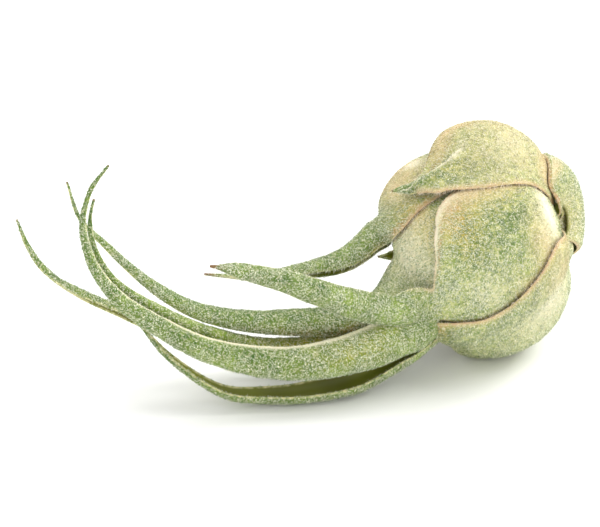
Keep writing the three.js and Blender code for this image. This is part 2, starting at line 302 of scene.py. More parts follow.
LEAF_PLANS: tuple[LeafPlan, ...] = (
    LeafPlan(
        "leaf_far_right", SHEATH_SLOT, 0, 3.0, 1.0, 80,
        ((13, -50, 90, 122), (29, -50, 72, 118), (44, -56, 62, 48), (60, -62, 56, 8),
         (76, -68, 50, 30), (92, -71, 38, 27), (104, -74, 26, 20), (113, -77, 14, 12)),
        ((-13.8, 26, 18.3), (-17, 24.3, 17.3), (-20, 22.6, 17)),
        ((-0.5, 0.8, -0.4), (-0.6, 0.7, -0.4)), turn_by=220.0,
        spots=patches(
            depth=((1.6, 0.3, 1.0, 0.7, 1.0),),
            flush=((1.4, -0.65, 0.35, 0.3, 0.9),),
            rust=((1.3, -1.0, 0.5, 0.12, 0.8),),
        ),
        grain=0.8,
    ),
    LeafPlan(
        "leaf_crown", SHEATH_SLOT, 1, 1.7, 1.0, 80,
        ((13, 15, 85, 85), (28, 12, 62, 48), (48, 12, 52, 44), (66, 14, 50, 46),
         (81, 18, 43, 45), (93, 23, 33, 39), (102, 30, 26, 30), (109, 37, 19, 23),
         (115, 43, 11, 14), (120, 46, 6, 9)),
        ((-19, -5.9, 47.4), (-21, -5.8, 46.8), (-23, -5.6, 46)),
        ((-0.7, -0.3, 0.65), (-0.8, -0.2, 0.55)), turn_by=220.0,
        spots=patches(
            flush=((3.0, 0.0, 2.6, 1.4, 0.45), (1.6, -0.1, 0.7, 0.9, 0.9),
                   (5.2, 0.4, 2.2, 0.5, 1.0), (3.4, 0.1, 1.2, 0.25, 0.6)),
            cream=((3.0, -0.35, 0.7, 0.35, 0.2),),
            depth=((5.2, -0.7, 1.5, 0.28, 0.9), (7.0, -0.62, 1.6, 0.26, 0.8),
                   (9.6, -0.3, 1.9, 0.7, 0.9)),
            yellow=((6.2, -0.6, 1.4, 0.2, 0.4),),
            # the first rust spot is a painted shadow on the far side of the fold's ridge
            rust=((6.9, -0.02, 1.0, 0.14, 0.5), (7.2, 0.75, 0.9, 0.2, 0.6)),
        ),
        grain=0.35, hair=1.7,
        fold=Fold(((4.5, -0.22), (5.3, -0.33), (6.1, -0.33), (7.5, -0.26), (9.0, -0.4),
                   (10.8, -0.45)), height=1.5, edge=0.05),
    ),
    LeafPlan(
        "leaf_underside", SHEATH_SLOT, 1, 1.6, 1.0, 80,
        ((13, 170, 85, 85), (30, 168, 66, 60), (48, 166, 62, 54), (64, 164, 46, 52),
         (80, 161, 32, 60), (94, 157, 22.5, 62), (106, 152, 18, 54), (115, 147, 13, 30),
         (121, 142, 7, 10)),
        ((-14.2, -22, 17.1), (-14.9, -22.2, 17.7), (-15.6, -22.4, 18.3)),
        ((-0.4, -0.8, -0.4), (-0.5, -0.8, -0.3)), turn_by=220.0, flare=0.4,
        spots=patches(
            depth=((7.0, 0.3, 1.0, 0.6, 1.0), (4.0, 0.6, 1.8, 0.3, 0.4)),
            cream=((2.4, 0.15, 1.5, 0.4, 0.6),),
            flush=((1.8, 0.75, 1.2, 0.35, 0.6),),
            rust=((8.0, 0.8, 1.2, 0.4, 0.8),),
            yellow=((8.4, 0.4, 1.4, 0.8, 0.9),),
        ),
        grain=0.55,
    ),
    LeafPlan(
        "leaf_front", SHEATH_SLOT, 2, 4.2, 0.5, 76,
        ((13, 97, 85, 85), (28, 95, 60, 52), (46, 93, 50, 40), (68, 97, 44, 46),
         (88, 102, 45, 46), (99, 108.5, 30, 40), (107, 113.5, 15, 32), (116, 118.5, 6, 23)),
        ((-20.3, -28.4, 25), (-27, -30.5, 26.6), (-34.5, -32, 29.5), (-41.5, -33, 33),
         (-49, -34, 36.5), (-55, -34.5, 38.5), (-60.5, -34.5, 40), (-65.5, -34, 40.5)),
        ((-0.1, -1, 0.3), (0, -0.9, 0.5)), turn_by=112.0,
        spots=patches(
            depth=((3.2, 0.35, 0.75, 0.22, 0.9), (3.9, 0.15, 1.0, 0.25, 0.6),
                   (12.0, 0.15, 0.5, 0.3, 1.0), (10.9, 0.4, 0.4, 0.3, 1.0)),
            yellow=((4.3, 0.6, 0.5, 0.4, 0.9), (3.6, 0.65, 0.7, 0.2, 0.6)),
            rust=((4.25, 0.85, 0.3, 0.35, 0.55), (5.3, 0.78, 0.9, 0.07, 0.9)),
            flush=((3.6, 0.85, 1.1, 0.22, 0.9), (2.5, -0.1, 0.4, 0.5, 0.7),
                   (2.6, -0.6, 0.9, 0.25, 0.6)),
            # the first cream spot is a painted highlight on the lit right rim of the cheek
            cream=((1.95, 0.3, 0.42, 0.55, 1.0), (4.7, -0.35, 1.0, 0.3, 0.3),
                   (5.2, 0.96, 1.4, 0.12, 1.0)),
        ),
        grain=0.8,
        dry_tip=4.5, felt=1.1,
    ),
    LeafPlan(
        "leaf_far_left", SHEATH_SLOT, 2, 2.6, 1.0, 80,
        ((13, -120, 85, 85), (30, -125, 62, 62), (55, -128, 58, 62), (80, -126, 58, 74),
         (98, -122, 54, 72), (112, -116, 44, 76), (124, -108, 36, 70), (133, -100, 26, 48),
         (140, -95, 13, 20)),
        ((-18.3, 14.8, 17.4), (-21.5, 13.2, 18.3), (-25, 12.2, 18.6)),
        ((-0.6, 0.6, -0.5), (-0.6, 0.7, -0.35)), turn_by=220.0,
    ),
    LeafPlan(
        "leaf_upper_left", SHEATH_SLOT, 3, 5.0, 1.4, 118,
        ((13, -8, 85, 85), (28, -6, 65, 60), (50, 0, 55, 55), (78, 2, 56, 54),
         (100, 4, 54, 46), (123, 17, 48, 40), (144, 33, 36, 30)),
        ((-28.5, -1.5, 35), (-35, -5.5, 30.2), (-42.5, -9.5, 29), (-48.5, -12, 28.5),
         (-54.5, -14, 28), (-61, -15.3, 28.3), (-68, -15.7, 28.8)),
        ((-0.4, 0.5, 0.75), (0, 0.85, 0.53)),
        spots=patches(
            flush=((5.4, 0.1, 0.7, 0.7, 1.0),),
            cream=((4.9, 0.1, 0.22, 0.2, 0.9),),
            yellow=((5.9, -0.6, 0.8, 0.35, 0.6),),
            rust=((6.4, -0.95, 1.2, 0.12, 0.7),),
            depth=((8.0, -0.2, 1.6, 1.0, 0.4),),
        ),
        grain=0.7, hair=1.5,
        dry_tip=5.0, felt=1.1,
    ),
    LeafPlan(
        "leaf_upper_long", BLADE_SLOT, 4, 4.5, 1.2, 100,
        ((13, 50, 60, 60), (30, 50, 45, 45), (60, 52, 45, 45), (90, 60, 50, 50),
         (106, 78, 48, 48), (121, 91, 42, 42), (133, 108, 28, 28)),
        ((-28.5, -22, 24), (-38, -23, 22.5), (-49.5, -24.5, 22.5), (-60, -25.5, 23.5),
         (-70.5, -25, 26), (-81, -21.5, 31), (-91, -15.5, 37), (-97.5, -10.5, 41.5),
         (-100.5, -7, 49)),
        ((-0.2, -0.3, 0.9), (0.8, -0.1, 0.6)),
        spots=patches(
            yellow=((4.7, 0.2, 0.5, 0.5, 0.7),),
            cream=((5.6, 0.2, 0.9, 0.7, 0.55),),
            flush=((4.5, 0.5, 0.6, 0.4, 0.6),),
            depth=((5.8, 0.1, 0.9, 0.5, 0.5), (10.0, 0.0, 3.0, 0.5, 0.8)),
            rust=((7.5, -0.9, 1.6, 0.3, 0.6),),
        ),
        felt=1.2,
    ),
    LeafPlan(
        "leaf_middle_long", BLADE_SLOT, 5, 6.0, 1.15, 100,
        ((13, 120, 40, 40), (40, 125, 34, 34), (75, 130, 30, 30), (105, 136, 24, 24)),
        ((-15.5, -27, 17), (-22.5, -31, 16), (-33.5, -34, 14), (-45, -36, 13.5),
         (-56.5, -36.5, 15), (-68, -36, 18.5), (-77.5, -34.5, 23.5), (-87, -31, 29),
         (-93.5, -26.5, 36), (-96, -22, 44.5), (-94, -18.5, 52), (-89.5, -16, 57.5)),
        ((0, -1, -0.2), (-0.6, -0.7, 0.5)),
        spots=patches(
            depth=((8.0, 0.45, 0.5, 0.22, 1.0), (9.4, 0.4, 0.9, 0.25, 1.0),
                   (7.0, 0.1, 0.7, 0.2, 0.6), (12.0, 0.3, 2.0, 0.5, 0.7)),
            yellow=((5.8, 0.4, 1.0, 0.5, 0.35),),
            cream=((8.0, 0.93, 4.5, 0.1, 0.95),),
        ),
    ),
    LeafPlan(
        "leaf_far_long", BLADE_SLOT, 5, 3.6, 0.7, 100,
        ((13, -140, 40, 40), (40, -150, 32, 32), (75, -160, 28, 28), (105, -178, 22, 22)),
        ((-22.5, -10, 6.5), (-36, -12, 5), (-50, -14, 6.5), (-64, -16, 10.5),
         (-77, -18, 16), (-88.5, -17.5, 21), (-98, -15, 24), (-106, -11.5, 27.5),
         (-110.5, -8.5, 32.5), (-113.5, -6, 38.5)),
        ((0, 0.9, -0.5), (0.9, 0.1, 0.5)),
    ),
    LeafPlan(
        "leaf_lower_long", BLADE_SLOT, 6, 4.4, 0.8, 92,
        ((13, 180, 40, 40), (40, 178, 32, 32), (75, 176, 30, 30), (105, 172, 24, 24)),
        ((-18.5, -18, 6), (-31.5, -24.5, 1.5), (-44, -28, 0.5), (-53.5, -29.5, 1),
         (-62, -30.5, 2.5), (-68, -31, 6), (-73.5, -30.5, 10.5), (-78.5, -29.5, 15.5),
         (-84, -27, 22.5)),
        ((0, 0.15, -1), (-0.5, -0.2, -0.7)),
    ),
    LeafPlan(
        "leaf_inner_long", BLADE_SLOT, 7, 3.2, 0.9, 105,
        ((13, 90, 28, 28), (50, 95, 26, 26), (90, 105, 24, 24)),
        ((-18.5, -20, 19.5), (-33, -24, 15.5), (-45.5, -26.5, 14.5), (-56, -28.5, 16),
         (-68, -30, 20.5), (-79, -29, 26), (-88.5, -26, 31.5), (-93.5, -21.5, 38),
         (-94.5, -18, 44), (-93.5, -15.5, 48.5)),
        ((0, -0.8, 0.6), (-0.4, -0.9, 0.1)),
        spots=patches(
            yellow=((4.4, 0.0, 1.4, 1.0, 0.8),),
        ), felt=0.45,
    ),
)


# ------------------------------------------------------------------ leaf surface
@dataclass(frozen=True)
class Sections:
    """Arrays that describe the leaf's sections at a run of places along it."""

    place: Array
    out: Array
    axis: Array
    curl: Array
    up: Array
    down: Array
    drape: Array


@dataclass
class LeafSurface:
    """One leaf as a function of two numbers: place along it and place across it.

    A section is an arc of the curl radius about the section axis, standing out from
    the midrib by curl * cos(turn) and aside by curl * sin(turn).  Where the leaf is
    sheath, its points are then moved along the ray from the heart on to the bulb's
    form at the leaf's depth.

    Attributes:
        plan: the leaf's named sizes.
        bulb: the form under the sheath.
        layer_step: one sheath layer with its clearance.
        tip_radius: curl radius left at the tip.
        most_curl: radians each side of the midrib.
        least_arc: half arc that is always left.
        turn_ease: degrees over which sections turn from the pole to the midrib.
        wall: thickness at the midrib.
        press: how far a sheath margin is pressed towards the next leaf.
        press_width: width of the pressed strip.
        fine_places: how many places the length is measured at.
    """

    plan: LeafPlan
    bulb: Bulb
    layer_step: float = 1.5
    tip_radius: float = 0.3
    most_curl: float = 2.2
    least_arc: float = 0.2
    turn_ease: float = 55.0
    wall: float = 0.85
    press: float = 0.8
    press_width: float = 2.4
    fine_places: int = 600
    rows: Array = field(init=False)

    def __post_init__(self) -> None:
        """Works out the station rows once."""
        self.rows = np.vstack([self._sheath_rows(), self._blade_rows()])

    @property
    def depth(self) -> float:
        """How far the sheath lies below the outside of the bulb."""
        return self.plan.layer * self.layer_step

    @property
    def last(self) -> float:
        """The place of the tip, counted in rows."""
        return float(len(self.rows) - 1)

    def _sheath_rows(self) -> Array:
        """Station rows of the sheath: place, outward, log radius, half arcs, drape."""
        s = np.array(self.plan.sheath, float)
        way = self.bulb.aim(s[:, 0], s[:, 1])
        reach = self.bulb.radius(way)[:, None] - self.depth
        arcs = np.radians(s[:, 2:4]) * reach
        place = np.array(self.bulb.heart) + way * reach
        return np.hstack([place, way, np.log(reach), arcs, np.ones_like(reach)])

    def _blade_rows(self) -> Array:
        """Station rows of the free blade; the curl radius narrows to the tip."""
        p = self.plan
        route = np.array(p.route, float)
        runs = np.linalg.norm(np.diff(route, axis=0), axis=1)
        share = np.minimum(np.concatenate([[0.0], np.cumsum(runs)]) / runs.sum(), 1.0)
        start, end = (unit(np.array(b, float)) for b in p.back)
        out = unit(start * (1 - share[:, None]) + end * share[:, None])
        curl = self.tip_radius + (p.radius - self.tip_radius) * (1 - share) ** p.taper
        arc = (curl * math.radians(p.curl))[:, None]
        rest = np.hstack([np.log(curl)[:, None], arc, arc, np.zeros_like(arc)])
        return np.hstack([route, out, rest])

    def drape(self, at: Array) -> Array:
        """How fully each place lies on the bulb: 1 is sheath, 0 is free blade."""
        return np.clip(curve_through(self.rows, at)[:, 9:10], 0.0, 1.0)

    def sections(self, at: Array) -> Sections:
        """Sections at places along the leaf, counted in rows."""
        s = curve_through(self.rows, at)
        step = 0.02
        ahead = curve_through(self.rows, np.minimum(at + step, self.last))
        behind = curve_through(self.rows, np.maximum(at - step, 0.0))
        along = unit((ahead - behind)[:, :3])
        faced = unit(s[:, 3:6])
        square = unit(faced - dot(faced, along) * along)
        drape = self.drape(at)
        out = unit(square * (1 - drape) + faced * drape)
        pole = self.bulb.axes[0]
        off = np.degrees(np.arccos(np.clip(out @ pole, -1, 1)))[:, None]
        share = smooth((self.plan.turn_by - off) / self.turn_ease) * smooth(drape)
        axis = unit(along * (1 - share) - pole * share)
        up, down = (np.maximum(s[:, k:k + 1], self.least_arc) for k in (7, 8))
        return Sections(s[:, :3], out - dot(out, axis) * axis, axis, np.exp(s[:, 6:7]),
                        up, down, drape)

    def points(self, at: Array, across: Array, inset: Array, beyond: Array) -> Array:
        """Points of the leaf on a grid.

        Args:
            at: places along the leaf, one for each grid row.
            across: -1..1 across the leaf, one for each grid column.
            inset: depth below the outer side, on the grid.
            beyond: how far past the margin, on the grid, signed as across.

        Returns:
            Grid of points in the layout, millimetres.
        """
        s = self.sections(at)
        v = across[None, :]
        arc = np.where(v > 0, s.up, s.down)
        turn = v * np.minimum(arc / s.curl, self.most_curl) + beyond / s.curl
        curl = s.curl - np.minimum(inset, s.curl * 0.97)
        side = np.cross(s.axis, s.out)
        free = (s.place[:, None] + (curl * np.cos(turn) - s.curl)[..., None] * s.out[:, None]
                + (curl * np.sin(turn))[..., None] * side[:, None])
        heart = np.array(self.bulb.heart)
        ray = free - heart
        reach = np.linalg.norm(ray, axis=-1)
        ray = ray / reach[..., None]
        lift = self.plan.flare * np.where(v > 0, v, 0.0) ** 6
        from_margin = (1 - np.abs(v)) * arc
        lift = lift - self.press * smooth(1 - from_margin / self.press_width)
        draped = self.bulb.radius(ray) - self.depth - inset + lift
        point = heart + ray * (reach + (draped - reach) * s.drape)[..., None]
        floor = np.maximum(s.drape * (self.depth - self.layer_step), 0.0) + inset
        point[..., 2] = np.maximum(point[..., 2], np.maximum(floor, FLOOR_GAP))
        return point

    def _lengths(self) -> tuple[Array, Array]:
        """Fine places along the leaf, and the length of midrib up to each."""
        fine = np.linspace(0.0, self.last, self.fine_places)
        mid = curve_through(self.rows, fine)[:, :3]
        gone = np.linalg.norm(np.diff(mid, axis=0), axis=1)
        return fine, np.concatenate([[0.0], np.cumsum(gone)])

    def even_places(self, step: float) -> Array:
        """Places along the leaf spaced about evenly by length."""
        fine, length = self._lengths()
        count = int(length[-1] / step)
        return np.interp(np.linspace(0.0, length[-1], count + 1), length, fine)

    def length_left(self, at: Array) -> Array:
        """Length of midrib from each place to the tip."""
        fine, length = self._lengths()
        return length[-1] - np.interp(at, fine, length)


# ------------------------------------------------------------------ relief
@dataclass(frozen=True)
class Relief:
    """Shallow bumps of a living leaf: a sum of slanted waves of falling height."""

    seed: int
    height: float = 0.05
    waves: int = 9
    pitch: tuple[float, float] = (2.2, 14.0)

    def over(self, point: Array) -> Array:
        """Height at each point: sum of sin(k . x + phase) / |k| shares."""
        rng = np.random.default_rng(self.seed)
        way = unit(rng.normal(size=(self.waves, 3)))
        pitch = np.geomspace(*self.pitch, self.waves)
        phase = rng.uniform(0, 2 * math.pi, self.waves)
        total = np.zeros(point.shape[:-1])
        for w, p, f in zip(way, pitch, phase):
            total += np.sin(point @ w * (2 * math.pi / p) + f) * (p / pitch[-1]) ** 0.6
        return self.height * total


# ------------------------------------------------------------------ meshes
def to_row_frame(points: Array) -> Array:
    """Layout millimetres to row-frame metres."""
    return (points - REST_SPOT) * MM


def new_mesh(name: str, points: Array, faces: list[Array], smooth_faces: bool) -> bpy.types.Object:
    """Makes a mesh object at the origin from points and groups of equal faces.

    Args:
        name: object and mesh name.
        points: row-frame metres.
        faces: arrays of vertex numbers, one array for each face size.
        smooth_faces: whether faces are shaded smooth.

    Returns:
        The linked object.
    """
    mesh = bpy.data.meshes.new(name)
    loops = np.concatenate([f.ravel() for f in faces]).astype(np.int32)
    sizes = np.concatenate([np.full(len(f), f.shape[1]) for f in faces]).astype(np.int32)
    starts = np.concatenate([[0], np.cumsum(sizes)[:-1]]).astype(np.int32)
    mesh.vertices.add(len(points))
    mesh.vertices.foreach_set("co", np.ascontiguousarray(points, np.float32).ravel())
    mesh.loops.add(len(loops))
    mesh.loops.foreach_set("vertex_index", loops)
    mesh.polygons.add(len(sizes))
    mesh.polygons.foreach_set("loop_start", starts)
    mesh.polygons.foreach_set("loop_total", sizes)
    mesh.polygons.foreach_set("use_smooth", np.full(len(sizes), smooth_faces))
    mesh.update(calc_edges=True)
    mesh.validate()
    piece = bpy.data.objects.new(name, mesh)
    bpy.context.scene.collection.objects.link(piece)
    return piece


def paint(piece: bpy.types.Object, name: str, *fields: Array) -> None:
    """Stores four fields, of shapes that go together, as numbers a vertex."""
    values = np.stack(np.broadcast_arrays(*fields), -1)
    layer = piece.data.color_attributes.new(name, "FLOAT_COLOR", "POINT")
    layer.data.foreach_set("color", np.ascontiguousarray(values, np.float32).ravel())


def loose_faces(name: str, root: Array, side: Array, point: Array) -> bpy.types.Object:
    """Makes one mesh of separate three-cornered faces.

    Args:
        name: object name.
        root: middle of each face's foot, layout millimetres.
        side: from the root to one corner of the foot.
        point: from the root to the tip.

    Returns:
        The linked object, three vertices a face.
    """
    corners = np.stack([root + side, root - side, root + point], 1)
    corners[..., 2] = np.maximum(corners[..., 2], FLOOR_GAP)
    faces = np.arange(3 * len(root)).reshape(-1, 3)
    return new_mesh(name, to_row_frame(corners.reshape(-1, 3)), [faces], False)


@dataclass
class LeafMesh:
    """The closed, fine-faced mesh of a leaf with rounded margins and paint masks.

    Attributes:
        surface: the leaf's form.
        step: length of a face along the leaf.
        half_columns: columns of faces each side of the midrib.
        edge_columns: columns round a margin.
        margin_thinning: share of the wall lost at a margin.
        rim_width: width of the tan rim of a sheath, and its strength.
        base_rows: rows of tan at the base of a sheath, and its strength.
        line_width: width of the line on a margin.
        cover_reach: how near a neighbour has to lie to hide this leaf.
        cover_from: height over the leaf where the look for one starts.
        bare: strength and length of the green end of a long blade.
        calm_tip: length over which the relief fades at the tip.
        at: places of the grid rows.
        outer: the outer side, layout millimetres.
        cover: 1 where a neighbour hides the outer side.
    """

    surface: LeafSurface
    step: float = 0.62
    half_columns: int = 17
    edge_columns: int = 3
    margin_thinning: float = 0.5
    rim_width: tuple[float, float] = (1.3, 0.8)
    base_rows: tuple[float, float] = (1.2, 0.3)
    line_width: float = 0.4
    cover_reach: float = 2.4
    cover_from: float = 0.25
    bare: tuple[float, float] = (0.8, 42.0)
    calm_tip: float = 12.0
    at: Array = field(init=False)
    outer: Array = field(init=False)
    cover: Array = field(init=False)

    def __post_init__(self) -> None:
        """Lays out the grid of the outer side."""
        self.at = self.surface.even_places(self.step)
        self.outer = self._outer_grid()
        self.cover = np.zeros(self.outer.shape[:2])

    @property
    def plan(self) -> LeafPlan:
        """The leaf's named sizes."""
        return self.surface.plan

    @property
    def across(self) -> Array:
        """Columns of the outer side, closer together near the margins."""
        u = np.linspace(-1, 1, 2 * self.half_columns + 1)
        return 0.75 * u + 0.25 * np.sin(u * math.pi / 2)

    def _outer_grid(self) -> Array:
        """Outer side with its relief, layout millimetres."""
        flat = np.zeros((len(self.at), len(self.across)))
        base = self.surface.points(self.at, self.across, flat, flat)
        calm = smooth(self.surface.length_left(self.at) / self.calm_tip)
        bump = Relief(sum(map(ord, self.plan.name))).over(base) * calm[:, None]
        if self.plan.fold:
            bump = bump + self.plan.fold.over(self.at, self.across)
        return self.surface.points(self.at, self.across, -bump, flat)

    def _columns(self) -> tuple[Array, Array, Array, Array]:
        """Columns of the closed loop round a section.

        Returns:
            Place across, share of the wall, reach past the margin, and 0 outside to
            1 inside.
        """
        v, n = self.across, self.edge_columns
        still, rim = np.zeros(len(v)), np.full(n, 0.5)
        bend = np.pi * (np.arange(n) + 1) / (n + 1)
        turn_in = (1 - np.cos(bend)) / 2
        across = np.concatenate([v, np.ones(n), v[::-1], -np.ones(n)])
        share = np.concatenate([still, turn_in, still + 1, turn_in[::-1]])
        past = np.concatenate([still, np.sin(bend), still, -np.sin(bend)])
        return across, share, past, np.concatenate([still, rim, still + 1, rim])

    def _faces(self, rows: int, cols: int) -> list[Array]:
        """Faces of the tube of loops: its sides, and its two closed ends."""
        n, e = len(self.across), self.edge_columns
        i = np.arange(rows - 1)[:, None] * cols
        j = np.arange(cols)[None, :]
        k = (j + 1) % cols
        sides = np.stack([i + j, i + k, i + cols + k, i + cols + j], -1).reshape(-1, 4)
        a = np.arange(n - 1)
        back = 2 * n + e - 1 - a
        cap = np.stack([a, back, back - 1, a + 1], -1)
        nose = (rows - 1) * cols
        ring = np.arange(n - 1, n + e + 1)
        other = np.append(np.arange(2 * n + e - 1, 2 * n + 2 * e), 0)
        rims = np.stack([ring[::-1], other[::-1], ring + nose, other + nose])
        return [sides, cap, cap[:, ::-1] + nose, rims]

    def build(self) -> bpy.types.Object:
        """Makes the mesh object with its masks."""
        across, share, past, inside = self._columns()
        thin = self.surface.wall * (1 - self.margin_thinning * np.abs(across) ** 3)
        wall = thin[None, :] * np.ones((len(self.at), 1))
        grid = self.surface.points(self.at, across, wall * share, wall * 0.5 * past)
        grid[:, :len(self.across)] = self.outer
        name = self.plan.name.replace("leaf_", "fine_leaf_")
        faces = self._faces(*grid.shape[:2])
        piece = new_mesh(name, to_row_frame(grid.reshape(-1, 3)), faces, True)
        dry = smooth(1 - self.surface.length_left(self.at) / self.plan.dry_tip)[:, None]
        # the second mask is painted shade under a neighbour's overlapping margin
        paint(piece, "masks", self.flush(across), self.crease_shade(across), inside[None, :], dry)
        line = smooth(1.0 - self.from_margin(across) / self.line_width)
        paint(piece, "places", self.depth(across), self.spot_field(Mask.YELLOW, across), line,
              self.spot_field(Mask.RUST, across))
        free = 1 - self.surface.drape(self.at)
        # first tone: cream colour with painted highlights on lit rims and the ridge
        paint(piece, "tones", self.spot_field(Mask.CREAM, across), free, 0.0, 1.0)
        return piece

    def spot_field(self, mask: Mask, across: Array) -> Array:
        """Strongest of the plan's patches of one kind on the grid, held to 1."""
        total = np.zeros((len(self.at), len(across)))
        for spot in self.plan.spots:
            if spot.mask is mask:
                total = np.maximum(total, spot.over(self.at, across))
        # the fold's ridge adds its painted highlight line to the cream mask
        if mask is Mask.CREAM and self.plan.fold:
            total = np.maximum(total, self.plan.fold.ridge(self.at, across))
        return np.minimum(total, 1.0)

    def depth(self, across: Array) -> Array:
        """Deep green: patches, plus the bare ends of the long blades."""
        total = self.spot_field(Mask.DEPTH, across)
        if self.plan.slot != BLADE_SLOT:
            return total
        strength, length = self.bare
        left = self.surface.length_left(self.at)[:, None]
        return np.maximum(total, strength * smooth(1 - left / length))

    def from_margin(self, across: Array) -> Array:
        """Arc distance from each column to the nearer margin, millimetres."""
        s = self.surface.sections(self.at)
        arc = np.where(across[None, :] > 0, s.up, s.down)
        arc = np.minimum(arc, self.surface.most_curl * s.curl)
        return (1 - np.abs(across)[None, :]) * arc

    def flush(self, across: Array) -> Array:
        """Tan flush: patches, plus a narrow rim and the base of the sheath."""
        width, strength = self.rim_width
        rim = smooth(1.15 - self.from_margin(across) / width) * strength
        rows, strength = self.base_rows
        base = smooth((rows - self.at) / rows)[:, None] * strength
        spread = np.maximum(rim, base) * self.surface.drape(self.at)
        return np.clip(self.spot_field(Mask.FLUSH, across) + spread, 0, 1)

    def crease_shade(self, across: Array) -> Array:
        """Painted shade where a neighbour's margin lies over this leaf: the blurred cover."""
        return np.array([np.interp(across, self.across, row) for row in blurred(self.cover)])

    def normals(self) -> Array:
        """Outward unit normals of the outer grid from its two slopes."""
        slope_at = np.gradient(self.outer, axis=0)
        slope_across = np.gradient(self.outer, axis=1)
        n = unit(np.cross(slope_across, slope_at))
        mid = n.shape[1] // 2
        out = self.surface.sections(self.at).out
        flip = np.sign(np.sum(n[:, mid] * out, axis=-1).mean())
        return n * flip

    def coarse(self) -> tuple[Array, Array]:
        """Every second point of the outer side, and the faces between them."""
        grid = self.outer[::2, ::2]
        rows, cols = grid.shape[:2]
        i = (np.arange(rows - 1)[:, None] * cols + np.arange(cols - 1)[None, :]).ravel()
        return grid.reshape(-1, 3), np.stack([i, i + 1, i + cols + 1, i + cols], -1)

    def find_cover(self, tree: BVHTree) -> None:
        """Marks outer points that a neighbour hides, by looking straight out.

        Args:
            tree: the other leaves' outer sides, layout millimetres.
        """
        n = self.normals()
        start = self.outer + n * self.cover_from
        rays = zip(start.reshape(-1, 3), n.reshape(-1, 3))
        hits = [tree.ray_cast(Vector(p), Vector(d), self.cover_reach)[0] for p, d in rays]
        hidden = np.array([hit is not None for hit in hits], float)
        self.cover = hidden.reshape(start.shape[:2])


# ------------------------------------------------------------------ felt
@dataclass
class Felt:
    """Pale scales that cover the outside of a leaf, each a narrow pointed face.

    A scale starts just under the surface and leans towards the tip of the leaf, at a
    random turn and lift: way = cos(lift) * (cos(turn) * along + sin(turn) * side)
    + sin(lift) * normal.

    Attributes:
        leaf: the leaf it grows on.
        per_mm2: scales for each square millimetre of an evenly felted leaf.
        length: shortest and longest scale.
        width: narrowest and widest scale.
        lift: least and most lift off the surface, degrees.
        swing: usual turn away from the tip's way, degrees.
        sink: how far a scale starts under the surface.
        most: most scales on one leaf.
        clumps: where the felt is thicker and thinner.
        clump_range: least and most of the usual, from the clumps.
        thinning: share of the felt lost on cream, flushed and deep green places.
        dry_left: share of the felt left on a dry tip.
        seed: start of the random draws, to which the leaf's name adds.
    """

    leaf: LeafMesh
    per_mm2: float = 17.0
    length: tuple[float, float] = (0.3, 0.65)
    width: tuple[float, float] = (0.12, 0.25)
    lift: tuple[float, float] = (10.0, 50.0)
    swing: float = 55.0
    sink: float = 0.03
    most: int = 70000
    clumps: Relief = Relief(seed=5, height=0.24, waves=14, pitch=(0.9, 6.0))
    # thinning: share of the felt lost on creamy patches with their painted highlights, on flushed
    # and on deep green places.
    clump_range: tuple[float, float] = (0.12, 1.9)
    thinning: Triple = (0.75, 0.3, 0.35)
    dry_left: float = 0.15
    seed: int = 7

    def _density(self) -> Array:
        """Scales for each square millimetre on the outer grid's cells."""
        leaf, across = self.leaf, self.leaf.across
        on_cream, on_flush, on_deep = self.thinning
        share = (1 - leaf.cover) * (1 - on_cream * leaf.spot_field(Mask.CREAM, across))
        share = share * leaf.plan.felt
        share = share * (1 - on_flush * leaf.flush(across))
        share = share * (1 - on_deep * leaf.depth(across))
        share = share * np.clip(1 + self.clumps.over(leaf.outer), *self.clump_range)
        dry = smooth(leaf.surface.length_left(leaf.at) / leaf.plan.dry_tip)
        share = share * (self.dry_left + (1 - self.dry_left) * dry[:, None])
        cell = (share[:-1, :-1] + share[1:, :-1] + share[:-1, 1:] + share[1:, 1:]) / 4
        return cell * self.per_mm2

    def build(self) -> bpy.types.Object:
        """Makes one mesh of all the scales of the leaf."""
        leaf = self.leaf
        rng = np.random.default_rng(self.seed + sum(map(ord, leaf.plan.name)))
        grid = leaf.outer
        du = grid[1:, :-1] - grid[:-1, :-1]
        dv = grid[:-1, 1:] - grid[:-1, :-1]
        area = np.linalg.norm(np.cross(du, dv), axis=-1)
        want = (area * self._density()).ravel()
        total = int(min(want.sum(), self.most))
        cell = rng.choice(len(want), size=total, p=want / want.sum())
        i, j = np.divmod(cell, area.shape[1])
        a, b = rng.random(total)[:, None], rng.random(total)[:, None]

        def pick(values: Array) -> Array:
            """Blends the four corners of each chosen cell."""
            return ((values[i, j] * (1 - a) + values[i + 1, j] * a) * (1 - b)
                    + (values[i, j + 1] * (1 - a) + values[i + 1, j + 1] * a) * b)

        n = unit(pick(leaf.normals()))
        t = pick(unit(np.gradient(grid, axis=0)))
        t = unit(t - dot(t, n) * n)
        turn = np.radians(rng.normal(0, self.swing, (total, 1)))
        lift = np.radians(rng.uniform(*self.lift, (total, 1)))
        flat = np.cos(turn) * t + np.sin(turn) * np.cross(n, t)
        way = np.cos(lift) * flat + np.sin(lift) * n
        reach = rng.uniform(*self.length, (total, 1))
        half = rng.uniform(*self.width, (total, 1)) / 2
        piece = loose_faces(leaf.plan.name.replace("leaf_", "felt_"), pick(grid) - n * self.sink,
                            unit(np.cross(n, way)) * half, way * reach)
        tone = rng.random((total, 1))
        warm, cream, deep = (pick(f[..., None]) for f in (
            leaf.flush(leaf.across), leaf.spot_field(Mask.CREAM, leaf.across),
            leaf.depth(leaf.across)))
        # scales lighter on the cream mask, which holds painted highlights, and darker on deep
        # green
        tone = np.clip(tone + 0.5 * cream - 0.25 * deep, 0, 1)
        grain = np.maximum(leaf.plan.grain, deep)
        corners = np.ones((1, 3))
        paint(piece, "scale", tone * corners, warm, 0.0, grain)
        return piece


